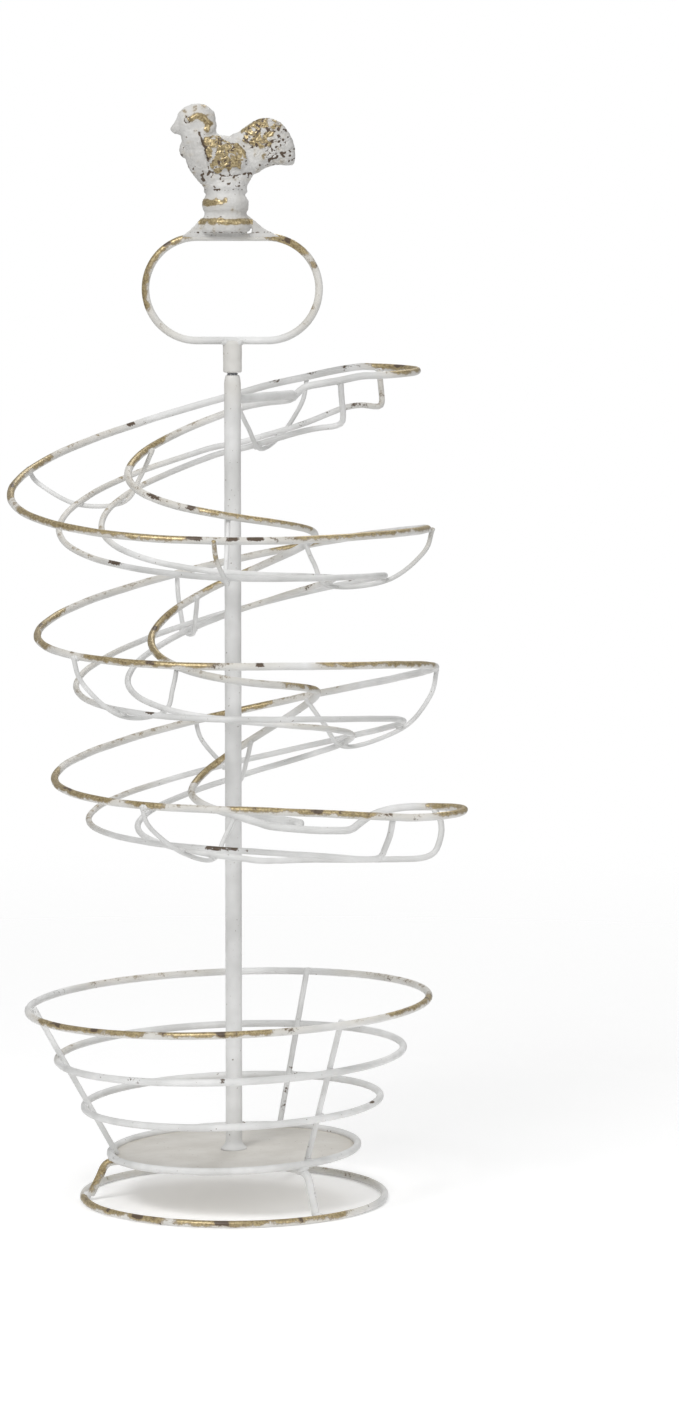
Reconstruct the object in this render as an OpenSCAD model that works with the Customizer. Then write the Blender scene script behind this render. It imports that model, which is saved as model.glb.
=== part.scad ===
// Egg holder tray: eggs roll down a helical wire channel that hangs round a centre post. The post stands
// on a small round plate with three basket rings, and a rooster on a loop handle screws into its top.
// Millimetres. X is to the right, Y to the back and Z up. The origin is on the floor, on the post's axis.

/* [Stand] */
// Diameter of the foot ring, at the middle of its wire
foot_ring_d = 130; // [120:1:140]
// Diameter of the foot ring's wire
foot_wire_d = 3.2; // [2.8:0.1:3.6]
// Depth of the flat worn on the underside of the foot ring
foot_flat = 0.2; // [0.1:0.05:0.4]
// Outer diameter of the base plate with the wire round it
plate_d = 110; // [106:1:114]
// Height of the middle of the plate's wire above the floor
plate_z = 21.9; // [20:0.1:24]
// Thickness of the base plate
plate_t = 0.8; // [0.7:0.1:1.5]
// Diameter of the wire round the plate
plate_wire_d = 3.2; // [2.8:0.1:3.6]
// Diameter of the three leg rods
leg_d = 3.5; // [3:0.1:4]

/* [Basket] */
// Diameter of the lower basket ring, at the middle of its wire
lower_ring_d = 127.6; // [122:0.1:132]
// Height of the lower basket ring
lower_ring_z = 42.6; // [38:0.1:46]
// Diameter of the middle basket ring
middle_ring_d = 149; // [142:0.1:154]
// Height of the middle basket ring
middle_ring_z = 63.6; // [58:0.1:66]
// Diameter of the top basket ring, the rim
rim_d = 172.5; // [164:0.5:175]
// Height of the rim
rim_z = 85.4; // [82:0.1:90]
// Diameter of the basket rings' wire
basket_wire_d = 3.1; // [2.6:0.1:3.4]
// Diameter of the three ribs up the inside of the basket
rib_d = 2.5; // [2:0.1:3]
// Lean of the plate and the basket rings, with their right side higher, in degrees
basket_lean = 2; // [0:0.1:3]

/* [Post] */
// Outer diameter of the centre post
post_d = 7.1; // [6.8:0.1:8]
// Height of the top of the post above the floor
post_top = 354.8; // [350:0.1:360]
// Diameter of the post's bore
post_bore_d = 5; // [4.9:0.05:5.1]
// Height of the tapered lead at the top of the post
post_taper_h = 3.5; // [2:0.1:5]

/* [Egg rails] */
// Diameter of the upper rails' wire
upper_wire_d = 3.2; // [2.8:0.1:3.6]
// Diameter of the lower rails' wire
lower_wire_d = 2.6; // [2.2:0.1:3]
// Diameter of the nine cradles' wire
cradle_wire_d = 2; // [1.6:0.1:2.4]
// How far a cradle bulges outside the two outer rails
cradle_bulge = 3; // [1:0.5:6]
// Width of the loop that joins the two upper rails at each end
end_loop_w = 49; // [47:0.5:50]
// Slope of the lower rails, up to the right, where they pass the back and the front in turn, in degrees
side_rise = [3.5, 6.4, 7.9, 7.8, 6.1, 3];
// Diameter of the two arms between the post and the inner rail
arm_d = 4; // [3.4:0.1:4.2]

/* [Handle] */
// Outer diameter of the sleeve under the handle
sleeve_d = 8; // [7.6:0.1:8.4]
// Height of the sleeve
sleeve_h = 13.3; // [12:0.1:15]
// Gap between the post and the sleeve, where the stud shows
neck_gap = 1.2; // [0.8:0.1:2]
// Diameter of the stud
stud_d = 4.9; // [4.85:0.05:4.9]
// Length of the stud that is inside the post
stud_engaged = 13; // [10:0.5:20]
// Outer width of the handle ring
handle_w = 77; // [70:0.1:80]
// Outer height of the handle ring
handle_h = 47; // [44:0.1:50]
// Diameter of the handle ring's wire
handle_wire_d = 3.3; // [3:0.1:3.6]

/* [Rooster] */
// Height of the top of the rooster's comb above the floor
rooster_top = 470; // [468:0.5:474]
// Thickness of the rooster's body, from front to back
rooster_t = 15.5; // [14:0.5:20]
// Diameter of the rooster's round pedestal at its base
pedestal_d = 21; // [19:0.5:23]

/* [Hidden] */
$fn = 48;

paint = [0.84, 0.83, 0.81];
old_gold = [0.68, 0.58, 0.38];
plate_paint = [0.83, 0.8, 0.74];
weld = 0.15; // how far two welded wires sink into each other
wire_sides = 8;

// Angles of the three legs, and of the feet and the heads of the three ribs
leg_angles = [185, 65, 305];
rib_foot_angles = [185, 68, 308.5];
rib_head_angles = [185, 66.5, 305.5];
plate_ring_r = (plate_d - plate_wire_d) / 2;
plate_top = plate_z - 0.5;

// Each rail comes down two and a half turns, from 90 degrees at the back to 990 degrees at the front.
first_angle = 90;
last_angle = 990;
helix_step = 9;
// Reach of each rail along X at 0, 180, 360 ... 1080 degrees, that is to the right and left in turn
outer_top_reach = [80, -94.5, 83, -83.5, 86.5, -76.5, 95];
inner_top_reach = [32, -44.5, 35, -35, 36, -18, 52];
outer_lower_reach = [56, -74, 65, -67, 73, -62, 80];
inner_lower_reach = [43, -56, 43, -45, 51, -41, 68];
// Height of each rail where it passes the back and the front of the post in turn, from the top down
outer_top_heights = [341, 290.5, 270.3, 238.4, 204, 179];
inner_top_heights = [336, 298, 266, 228, 197, 166];
outer_lower_heights = [321, 274, 249, 215, 183, 160];
inner_lower_heights = [319, 275, 250, 212, 179, 154];
// Slope of the upper rails at the same places, in degrees
outer_top_rise = [5, 6.2, 7.2, 6.8, 6, 4.7];
inner_top_rise = [3.5, 6.4, 7.9, 9, 15, 0];
outer_top_helix = [outer_top_reach, outer_top_heights, outer_top_rise];
inner_top_helix = [inner_top_reach, inner_top_heights, inner_top_rise];
outer_lower_helix = [outer_lower_reach, outer_lower_heights, side_rise];
inner_lower_helix = [inner_lower_reach, inner_lower_heights, side_rise];

// Loops that join the upper rails: middle of the half circle, and the height of its two ends and its tip
end_loop_r = end_loop_w / 2;
top_loop = [55, 62];
top_loop_heights = [355.3, 354.5, 353];
bottom_loop = [73, -60.5];
bottom_loop_heights = [176, 176.3, 174.3];

// Straight ends of the rails, from the free end or the loop towards the helix at the top, and away
// from the helix at the bottom
outer_top_start = [[45, 86.8, 353.8], [30, 87.3, 350.7], [15, 87.5, 347.4], [4, 87.6, 344.4]];
outer_top_end = [[30, -85, 178], [44, -85, 177.3], [58, -85, 176.6]];
inner_top_start = [
  [46, 37.6, 351.3], [38, 37.7, 349.9], [31, 37.8, 348.4], [27.5, 37.9, 346], [24, 38, 343], [14, 38.2, 341.7],
  [4, 38.4, 339.6]
];
inner_top_end = [
  [30, -36.3, 164.9], [43, -36, 164.3], [50, -36, 164.6], [54, -36, 167.4], [58.5, -36, 170.6], [65, -36, 173]
];
outer_lower_start = [
  [63, 84.2, 353.7], [63.8, 80, 346], [64.2, 74, 340.5], [62.5, 70, 338.4], [55, 68.5, 339.2],
  [48, 68, 338.2], [41, 67.5, 335.6], [33, 67, 332.3], [24, 66.5, 329.2], [13, 65.8, 325.9], [2, 65.3, 322.9]
];
outer_lower_end = [
  [23, -70, 159], [44, -70, 157.6], [57, -70.2, 156.6], [62.5, -71, 157.6], [64.5, -73, 162], [66.5, -77, 168],
  [67.5, -83.2, 174.8]
];
inner_lower_start = [
  [46, 38, 350], [46.4, 39.5, 344], [47, 43, 336.5], [46.4, 45.3, 332.6], [43, 47, 331], [36, 48, 330],
  [27, 48.8, 328], [16, 49.3, 324.7], [5, 49.5, 321.5]
];
inner_lower_end = [
  [30, -51.5, 154], [50, -49.5, 153.7], [66, -48, 153.7], [79, -47, 154.1], [84.5, -46.5, 155.8],
  [86.8, -46, 159], [88.3, -44.8, 165], [87.8, -42.2, 170], [85.5, -39.6, 173.6]
];

// Angle of each cradle at the outer and inner top rails, from the second cradle on, and how much further
// along it passes under the lower rails
cradle_outer_angles = [156, 270, 362, 468, 580, 731, 826, 959];
cradle_inner_angles = [144, 275, 380, 478, 584, 744, 816, 961];
cradle_lower_shifts = [0, 1, 0, -3, 5, -1, -4, 6];
// The first cradle is on the straight ends: its places on the outer and inner top rails, then on the
// outer and inner lower rails
first_cradle = [[30, 87.3, 350.7], [3, 38.4, 339.3], [19, 66.2, 327.7], [11, 49.4, 323.2]];

sleeve_bottom = post_top + neck_gap;
sleeve_top = sleeve_bottom + sleeve_h;
handle_z = sleeve_top - 1.4 + handle_h / 2;
handle_end_r = (handle_h - handle_wire_d) / 2;
handle_straight = handle_w - handle_h;
stud_top = sleeve_bottom + 9.5;
pedestal_z = handle_z + handle_h / 2;

// ---- Geometry helpers ----

function unit(v) = v / norm(v);
function mix(a, b, f) = a + (b - a) * f;
function clamp(x, low, high) = min(max(x, low), high);

// Smooth curve through the points or numbers of p, at fraction f between numbers i and i + 1
function through(p, i, f) =
  let (
    b = p[i], c = p[i + 1],
    a = i > 0 ? p[i - 1] : 2 * b - c,
    d = i + 2 < len(p) ? p[i + 2] : 2 * c - b
  )
  b + 0.5 * f * ((c - a) + f * ((2 * a - 5 * b + 4 * c - d) + f * (3 * b - 3 * c + d - a)));
function smooth(p, n) = [for (i = [0:len(p) - 2], k = [0:n - 1]) through(p, i, k / n), p[len(p) - 1]];

// Place of a rail at an angle of its turn
function rail_at(helix, angle) =
  let (
    reach = helix[0],
    half = clamp(floor(angle / 180), 0, 5),
    right = (reach[half] + reach[half + 1]) / 2,
    swing = (reach[half] - reach[half + 1]) / 2,
    s = (angle - 90) / 180,
    n = clamp(floor(s), 0, 4),
    r = mix(abs(reach[n] - reach[n + 1]), abs(reach[n + 1] - reach[n + 2]), s - n) / 2,
    rise = r * tan(through(helix[2], n, s - n)) * cos(angle)
  )
  [right + swing * cos(angle - 180 * half), r * sin(angle), through(helix[1], n, s - n) + rise];
function helix_points(helix) =
  [for (angle = [first_angle:helix_step:last_angle]) rail_at(helix, angle)];

// Half of an end loop, from its tip to one of its ends; side is 1 for the back and -1 for the front
function half_loop(middle, side, tip_z, end_z) =
  [for (a = [0:15:90]) [
    middle[0] + end_loop_r * cos(a), middle[1] + side * end_loop_r * sin(a), mix(tip_z, end_z, a / 90)
  ]];
function reversed(p) = [for (i = [len(p) - 1:-1:0]) p[i]];

// A round wire along a path, as one closed tube
module wire(path, d) {
  n = len(path);
  along = [for (i = [0:n - 1]) unit(path[min(i + 1, n - 1)] - path[max(i - 1, 0)])];
  side = unit(cross(along[0], abs(along[0].z) < 0.9 ? [0, 0, 1] : [0, 1, 0]));
  sides = [for (
    i = 0, u = side;
    i < n;
    i = i + 1, u = unit(u - (u * along[min(i, n - 1)]) * along[min(i, n - 1)])
  ) u];
  points = [for (i = [0:n - 1], k = [0:wire_sides - 1])
    let (a = 360 * k / wire_sides, v = cross(along[i], sides[i]))
    path[i] + d / 2 * (cos(a) * sides[i] + sin(a) * v)];
  skin = [for (i = [0:n - 2], k = [0:wire_sides - 1])
    let (m = (k + 1) % wire_sides, a = i * wire_sides, b = a + wire_sides)
    each [[a + k, b + k, b + m], [a + k, b + m, a + m]]];
  start = [for (k = [0:wire_sides - 1]) k];
  end = [for (k = [wire_sides - 1:-1:0]) (n - 1) * wire_sides + k];
  polyhedron(points, concat([start], [end], skin), convexity = 6);
}

// A round wire bent into a closed ring
module ring(d, wire_d) {
  rotate_extrude($fn = 96) translate([d / 2, 0]) circle(d = wire_d);
}

// A straight rod from a to b
module rod(a, b, d) {
  v = b - a;
  translate(a) rotate([0, acos(v.z / norm(v)), atan2(v.y, v.x)]) cylinder(d = d, h = norm(v));
}

// The plate, the basket rings and the ribs lean together about the middle of the plate
module basket() {
  translate([0, 0, plate_z]) rotate([0, -basket_lean, 0]) translate([0, 0, -plate_z]) children();
}

// ---- Stand ----

module foot_ring() {
  color(paint) difference() {
    translate([0, 0, foot_wire_d / 2 - foot_flat]) ring(foot_ring_d, foot_wire_d);
    translate([0, 0, -5]) cube([foot_ring_d + 20, foot_ring_d + 20, 10], center = true);
  }
}

// A leg lies under the plate's wire, which leans, then bends down to the inside of the foot ring
module leg(angle) {
  lift = plate_ring_r * cos(angle) * tan(basket_lean);
  under = plate_z + lift - (plate_wire_d + leg_d) / 2 + weld;
  inside = (foot_ring_d - foot_wire_d - leg_d) / 2 + weld;
  path = smooth([
    [plate_ring_r - 22, 0, under - 0.4 * lift], [plate_ring_r - 6, 0, under - 0.1 * lift],
    [plate_ring_r + 1.5, 0, under - 1.2], [mix(plate_ring_r, inside, 0.6), 0, under - 7.5], [inside, 0, 2.6]
  ], 4);
  color(paint) rotate(angle) wire(path, leg_d);
}
module leg_left() { leg(leg_angles[0]); }
module leg_back() { leg(leg_angles[1]); }
module leg_front() { leg(leg_angles[2]); }

module plate_ring() {
  color(paint) basket() translate([0, 0, plate_z]) ring(plate_d - plate_wire_d, plate_wire_d);
}

module base_plate() {
  color(plate_paint) basket() translate([0, 0, plate_top - plate_t])
    cylinder(r = plate_ring_r - plate_wire_d / 2 + 0.3, h = plate_t, $fn = 96);
}

// ---- Basket ----

module basket_ring_lower() {
  color(paint) basket() translate([0, 0, lower_ring_z]) ring(lower_ring_d, basket_wire_d);
}
module basket_ring_middle() {
  color(paint) basket() translate([0, 0, middle_ring_z]) ring(middle_ring_d, basket_wire_d);
}
module basket_rim() {
  color(paint) basket() translate([0, 0, rim_z]) ring(rim_d, basket_wire_d);
}

// A rib is straight, from just inside the plate's wire to the inside of the rim
module rib(number) {
  foot_r = plate_ring_r - (plate_wire_d + rib_d) / 2 + weld;
  head_r = (rim_d - basket_wire_d - rib_d) / 2 + weld;
  foot = rib_foot_angles[number];
  head = rib_head_angles[number];
  color(paint) basket() rod(
    [foot_r * cos(foot), foot_r * sin(foot), plate_z + 0.1],
    [head_r * cos(head), head_r * sin(head), rim_z + 1.2], rib_d
  );
}
module rib_left() { rib(0); }
module rib_back() { rib(1); }
module rib_front() { rib(2); }

// ---- Post ----

module post() {
  outer = post_d / 2;
  bore = post_bore_d / 2;
  color(paint) rotate_extrude() polygon([
    [bore, plate_top - weld], [outer + 0.8, plate_top - weld], [outer, plate_top + 2.4],
    [outer, post_top - post_taper_h],
    [outer - 0.6, post_top], [bore, post_top]
  ]);
}

// ---- Egg rails ----

module outer_top_rail() {
  color(paint) wire(concat(
    half_loop(top_loop, 1, top_loop_heights[1], top_loop_heights[0]), outer_top_start,
    helix_points(outer_top_helix), outer_top_end,
    reversed(half_loop(bottom_loop, -1, bottom_loop_heights[1], bottom_loop_heights[0]))
  ), upper_wire_d);
}

module inner_top_rail() {
  color(paint) wire(concat(
    half_loop(top_loop, -1, top_loop_heights[1], top_loop_heights[2]), inner_top_start,
    helix_points(inner_top_helix), inner_top_end,
    reversed(half_loop(bottom_loop, 1, bottom_loop_heights[1], bottom_loop_heights[2]))
  ), upper_wire_d);
}

module outer_lower_rail() {
  color(paint) wire(concat(
    outer_lower_start, helix_points(outer_lower_helix), outer_lower_end
  ), lower_wire_d);
}

module inner_lower_rail() {
  color(paint) wire(concat(
    inner_lower_start, helix_points(inner_lower_helix), inner_lower_end
  ), lower_wire_d);
}

// A cradle is a U of wire: down the outside of the outer top rail, under both lower rails and up the post
// side of the inner top rail. The points are the places of those four rails.
module cradle(outer_top, inner_top, outer_lower, inner_lower) {
  out = unit([outer_top.x - inner_top.x, outer_top.y - inner_top.y, 0]);
  up = [0, 0, 1];
  side = (upper_wire_d + cradle_wire_d) / 2 - weld;
  below = (lower_wire_d + cradle_wire_d) / 2 - weld;
  shoulder = mix(outer_lower, outer_top, 0.75);
  path = smooth([
    outer_top + out * side,
    [shoulder.x, shoulder.y, (outer_lower.z + outer_top.z) / 2] + out * cradle_bulge,
    outer_lower + out * 1.5 - up * (below - 0.3),
    inner_lower - up * below,
    mix(inner_lower, inner_top, 0.45) - out * 3,
    inner_top - out * side
  ], 5);
  color(paint) wire(path, cradle_wire_d);
}

module numbered_cradle(number) {
  if (number == 1) cradle(first_cradle[0], first_cradle[1], first_cradle[2], first_cradle[3]);
  else {
    a = cradle_outer_angles[number - 2];
    b = cradle_inner_angles[number - 2];
    shift = cradle_lower_shifts[number - 2];
    cradle(
      rail_at(outer_top_helix, a), rail_at(inner_top_helix, b),
      rail_at(outer_lower_helix, mix(a, b, 0.4) + shift), rail_at(inner_lower_helix, mix(a, b, 0.8) + shift)
    );
  }
}
module cradle_1() { numbered_cradle(1); }
module cradle_2() { numbered_cradle(2); }
module cradle_3() { numbered_cradle(3); }
module cradle_4() { numbered_cradle(4); }
module cradle_5() { numbered_cradle(5); }
module cradle_6() { numbered_cradle(6); }
module cradle_7() { numbered_cradle(7); }
module cradle_8() { numbered_cradle(8); }
module cradle_9() { numbered_cradle(9); }

// An arm runs from the side of the post to a place on the inner rail, and stays out of the post's bore
module arm(to, z) {
  from = unit([to.x, to.y, 0]) * (post_d / 2 - 0.6) + [0, 0, z];
  color(paint) rod(from, to, arm_d);
}
module top_arm() { arm([25, 34.8, 345.2], 344.6); }
module bottom_arm() { arm([29, -34, 167], 168); }

// ---- Handle ----

module handle_stud() {
  color([0.6, 0.6, 0.62]) translate([0, 0, post_top - stud_engaged])
    cylinder(d = stud_d, h = stud_top - post_top + stud_engaged);
}

module handle_sleeve() {
  color(paint) difference() {
    translate([0, 0, sleeve_bottom]) cylinder(d = sleeve_d, h = sleeve_h);
    translate([0, 0, sleeve_bottom - 1]) cylinder(d = post_bore_d, h = stud_top - sleeve_bottom + 1.3);
  }
}

// A loop of two half rings and two straight lengths
module handle_ring() {
  color(old_gold) translate([0, 0, handle_z]) rotate([90, 0, 0]) {
    for (side = [-1, 1]) {
      translate([side * handle_straight / 2, 0, 0]) rotate(side * 90 - 90 - 90)
        rotate_extrude(angle = 180, $fn = 96) translate([handle_end_r, 0]) circle(d = handle_wire_d);
      translate([-handle_straight / 2, side * handle_end_r, 0]) rotate([0, 90, 0])
        cylinder(d = handle_wire_d, h = handle_straight);
    }
  }
}

// ---- Rooster ----

// A turned pedestal with two bands, webs down to the handle ring, and a bird that faces left
module rooster() {
  base = pedestal_z - 0.6;
  lift = rooster_top - 470;
  color(old_gold) {
    translate([-2.3, 0, base]) rotate_extrude() polygon([
      [0, 0], [pedestal_d / 2, 1.5], [pedestal_d / 2 + 0.1, 5.5], [pedestal_d / 2 - 1.1, 8],
      [pedestal_d / 2 - 0.7, 12], [pedestal_d / 2 - 1.5, 15], [pedestal_d / 2 - 2, 18], [0, 19]
    ]);
    web();
    translate([0, 0, lift]) bird();
  }
}

// A thin web from the pedestal's base out along the handle ring on both sides
module web() {
  translate([0, 2, 0]) rotate([90, 0, 0]) linear_extrude(4) polygon([
    [-21, pedestal_z - 1.8], [-12.5, pedestal_z + 5.5], [8, pedestal_z + 7.5], [20, pedestal_z - 1.8]
  ]);
}

module ball(x, z, r) {
  translate([x, 0, z]) sphere(r = r, $fn = 24);
}

module bird() {
  body_r = rooster_t / 2;
  hull() {
    ball(-11.5, 446.5, 6.5);
    ball(-2.5, 444, body_r);
    ball(-2.3, 437.5, 6.8);
    ball(3, 445, 7.5);
  }
  hull() {
    ball(-13.5, 447.5, 5.8);
    ball(-14.3, 459.6, 7.2);
  }
  hull() {
    ball(-16, 456.5, 4.6);
    ball(-23.2, 458.2, 1.2);
  }
  ball(-19.6, 449.3, 2.5);
  ball(-14.8, 464.4, 5.6);
  hull() {
    ball(6, 448, 6.5);
    ball(15, 455.2, 7);
    ball(21.4, 450.5, 5.4);
    ball(24.6, 446.2, 1.9);
  }
}

foot_ring();
leg_left();
leg_back();
leg_front();
plate_ring();
base_plate();
rib_left();
rib_back();
rib_front();
basket_ring_lower();
basket_ring_middle();
basket_rim();
post();
outer_top_rail();
inner_top_rail();
outer_lower_rail();
inner_lower_rail();
cradle_1();
cradle_2();
cradle_3();
cradle_4();
cradle_5();
cradle_6();
cradle_7();
cradle_8();
cradle_9();
top_arm();
bottom_arm();
handle_stud();
handle_sleeve();
handle_ring();
rooster();
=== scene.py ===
"""Looks for the egg holder tray: wires, weld beads, worn antique paint and the cast rooster.

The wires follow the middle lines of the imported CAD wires. The rooster's outlines are in millimetres, and
everything else is in metres.
"""

import math

import bmesh
import bpy
import numpy as np
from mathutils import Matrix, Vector, noise


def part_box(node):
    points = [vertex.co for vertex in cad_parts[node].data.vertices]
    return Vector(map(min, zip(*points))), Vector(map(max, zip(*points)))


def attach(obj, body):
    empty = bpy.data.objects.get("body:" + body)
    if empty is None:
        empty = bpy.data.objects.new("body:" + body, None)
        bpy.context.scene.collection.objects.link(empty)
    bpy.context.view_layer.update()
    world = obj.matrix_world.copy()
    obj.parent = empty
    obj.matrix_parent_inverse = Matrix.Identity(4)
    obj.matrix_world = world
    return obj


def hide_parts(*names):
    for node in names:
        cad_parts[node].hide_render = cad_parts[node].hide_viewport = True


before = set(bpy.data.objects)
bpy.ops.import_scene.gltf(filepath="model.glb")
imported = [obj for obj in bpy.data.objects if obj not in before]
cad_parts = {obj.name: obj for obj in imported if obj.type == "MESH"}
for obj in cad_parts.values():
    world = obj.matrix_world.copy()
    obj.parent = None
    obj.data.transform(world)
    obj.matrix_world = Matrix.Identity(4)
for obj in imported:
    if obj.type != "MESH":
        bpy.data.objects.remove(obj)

noise.seed_set(1)  # without a seed, noise_vector gives other values in every run

MM = 0.001
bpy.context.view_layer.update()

WIRE_STEP = 2 * MM  # distance between the rings of vertices along a wire
WIRE_SIDES = 14
WANDER = 0.10 * MM  # how far a hand bent wire wanders off its line
LUMPS = 0.05 * MM  # how uneven the paint's thickness is
RAGGED = 1.6  # how far noise breaks up the edges of worn places

CRADLES = [f"cradle_{i}" for i in range(1, 10)]
RAILS = ["outer_top_rail", "inner_top_rail", "outer_lower_rail", "inner_lower_rail"]
RINGS = ["foot_ring", "plate_ring", "basket_ring_lower", "basket_ring_middle", "basket_rim"]
LEGS = ["leg_left", "leg_back", "leg_front"]
RIBS = ["rib_left", "rib_back", "rib_front"]
ARMS = ["top_arm", "bottom_arm"]

# The four tables of wear give stretches of each wire as shares of its length. On a ring the share is the
# turn from +X towards +Y, and on the loop handle it starts at the top left and runs down the left side.
# Stretches where the paint is rubbed through to gold
GOLD = {
    "outer_top_rail": [
        (0, 0.02), (0.125, 0.165), (0.18, 0.24), (0.272, 0.33), (0.39, 0.41), (0.485, 0.53),
        (0.552, 0.586), (0.62, 0.668), (0.76, 0.78), (0.842, 0.892), (0.9, 0.908), (0.93, 0.965), (0.985, 1),
    ],
    "inner_top_rail": [
        (0, 0.03), (0.17, 0.205), (0.29, 0.36), (0.45, 0.47), (0.5, 0.56), (0.64, 0.68), (0.76, 0.79),
        (0.97, 1),
    ],
    "basket_rim": [(0.575, 0.68), (0.71, 0.78), (0.9, 0.98)],
    "foot_ring": [(0.52, 0.62), (0.64, 0.67), (0.7, 0.78), (0.8, 0.88)],
    "handle_ring": [(0.03, 0.2), (0.74, 0.845)],
    "cradle_3": [(0, 0.12)],
    "leg_left": [(0.5, 0.9)],
}
# Stretches where the paint is only thin, so that the gold shows through as a tint and a few specks
THIN = {
    "outer_top_rail": [(0.1, 0.34), (0.38, 0.6), (0.74, 1)],
    "inner_top_rail": [(0.14, 0.38), (0.43, 0.7), (0.74, 0.82)],
    "outer_lower_rail": [(0, 0.02), (0.1, 0.2), (0.47, 0.53), (0.81, 0.87)],
    "inner_lower_rail": [(0.12, 0.18), (0.34, 0.4), (0.6, 0.65)],
    "basket_rim": [(0.02, 0.14), (0.28, 0.38), (0.55, 0.8), (0.86, 1)],
    "basket_ring_middle": [(0.45, 0.5)],
    "foot_ring": [(0.06, 0.22), (0.32, 0.42), (0.5, 0.9)],
    "leg_left": [(0, 1)],
    "cradle_2": [(0.7, 1)],
    "cradle_4": [(0, 0.1)],
    "handle_ring": [(0, 0.27), (0.62, 0.9)],
}
# Stretches with many small dark flecks
FLECKED = {
    "outer_top_rail": [(0.02, 0.05), (0.14, 0.3), (0.49, 0.6), (0.83, 1)],
    "inner_top_rail": [(0.24, 0.38), (0.5, 0.6), (0.74, 0.8)],
    "outer_lower_rail": [(0.01, 0.06), (0.2, 0.24), (0.5, 0.55), (0.9, 0.95)],
    "inner_lower_rail": [(0.3, 0.4), (0.62, 0.68)],
    "basket_rim": [(0, 0.1), (0.35, 0.5), (0.55, 0.82), (0.86, 1)],
    "basket_ring_middle": [(0.66, 0.7), (0.92, 0.94)],
    "basket_ring_lower": [(0.3, 0.33), (0.91, 0.97)],
    "plate_ring": [(0.2, 0.6), (0.98, 1)],
    "foot_ring": [(0.06, 0.2), (0.3, 0.4), (0.5, 1)],
    "rib_front": [(0, 1)],
    "rib_back": [(0.3, 0.9)],
    "rib_left": [(0, 0.2)],
    "leg_left": [(0, 1)],
    "leg_front": [(0.7, 1)],
    "handle_ring": [(0, 0.25), (0.7, 0.95)],
}
# Stretches where the paint is chipped to dark metal
CHIPS = {
    "outer_top_rail": [
        (0.01, 0.014), (0.092, 0.094), (0.15, 0.156), (0.24, 0.244), (0.251, 0.2535), (0.256, 0.26),
        (0.5, 0.505), (0.57, 0.572), (0.6, 0.602), (0.868, 0.874), (0.95, 0.953),
    ],
    "inner_top_rail": [(0.255, 0.262), (0.28, 0.284), (0.52, 0.525), (0.655, 0.66)],
    "outer_lower_rail": [(0.21, 0.214), (0.365, 0.372), (0.56, 0.563), (0.925, 0.935)],
    "inner_lower_rail": [(0.335, 0.34), (0.66, 0.665)],
    "basket_rim": [(0.59, 0.6), (0.64, 0.646), (0.745, 0.75), (0.915, 0.925), (0.96, 0.975)],
    "basket_ring_middle": [(0.745, 0.748)],
    "basket_ring_lower": [(0.935, 0.945), (0.61, 0.613)],
    "foot_ring": [(0.535, 0.545), (0.6, 0.605), (0.64, 0.652), (0.735, 0.745), (0.82, 0.825)],
    "handle_ring": [(0.06, 0.07), (0.13, 0.14), (0.8, 0.81)],
    "rib_front": [(0.3, 0.34), (0.62, 0.66)],
}
GOLD_FADE = 10 * MM  # how far each kind of wear fades out past the ends of its stretches
THIN_FADE = 20 * MM
FLECK_FADE = 12 * MM
CHIP_FADE = 2.5 * MM
RUB_FROM = (-0.15, -0.35, 0.92)  # hands and eggs rub the upper side of the wires most
GRIP_FROM = (-0.6, -0.6, 0.53)  # a hand rubs the loop handle from here
KNOCK_FROM = (0, -0.75, 0.66)  # chips are knocked out of the upper front of the wires

# Colours of the worn places, and of the painted shade on the rooster, which takes the colours of bare metal.
# Gilt and bare metal each vary between two colours.
SPECK = (0.40, 0.35, 0.28, 1)
TINT = (0.56, 0.50, 0.38, 1)
FLECK = (0.13, 0.09, 0.055, 1)
FRINGE = (0.20, 0.14, 0.075, 1)
GILT = ((0.17, 0.11, 0.045, 1), (0.66, 0.55, 0.32, 1))
BARE_AND_SHADE = ((0.03, 0.02, 0.014, 1), (0.16, 0.11, 0.07, 1))

LENS = 130.51  # millimetres, for a sensor of 36
CAMERA_PLACE = (0.0455, -2.191, 0.4382)
CAMERA_DOWN = 5.9  # degrees below level
LIGHT_TARGET = (0, 0, 0.24)
# Place, diameter and power of each light
LIGHTS = {
    "key": ((-0.6, -1.2, 1.5), 0.8, 17),
    "fill": ((1.2, -1.0, 0.9), 0.9, 5),
    "back": ((0.3, 1.2, 1.5), 0.8, 5),
}
BACKDROP = 1.0  # brightness of the white backdrop
SURROUND = (0.26, 0.52)  # brightness of the light that comes from straight below and straight above
FLOOR_GLOW = 0.18  # brightness of the light table that the floor is
FLOOR_FADE = (0.15, 1.2)  # distances from the post between which the floor fades into the backdrop


# ---- Camera and light ----


def new_object(name, data):
    made = bpy.data.objects.new(name, data)
    bpy.context.scene.collection.objects.link(made)
    return made


def make_camera():
    """The photograph's view: a long lens a little above the rack's middle, looking slightly down."""
    data = bpy.data.cameras.new("camera")
    data.lens = LENS
    data.sensor_width = 36
    camera = new_object("camera", data)
    camera.location = CAMERA_PLACE
    camera.rotation_euler = (math.radians(90 - CAMERA_DOWN), 0, 0)
    bpy.context.scene.camera = camera


def area_light(name, place, size, power):
    data = bpy.data.lights.new(name, "AREA")
    data.shape = "DISK"
    data.size = size
    data.energy = power
    light = new_object(name, data)
    light.location = place
    light.rotation_euler = (Vector(LIGHT_TARGET) - Vector(place)).to_track_quat("-Z", "Y").to_euler()


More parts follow.
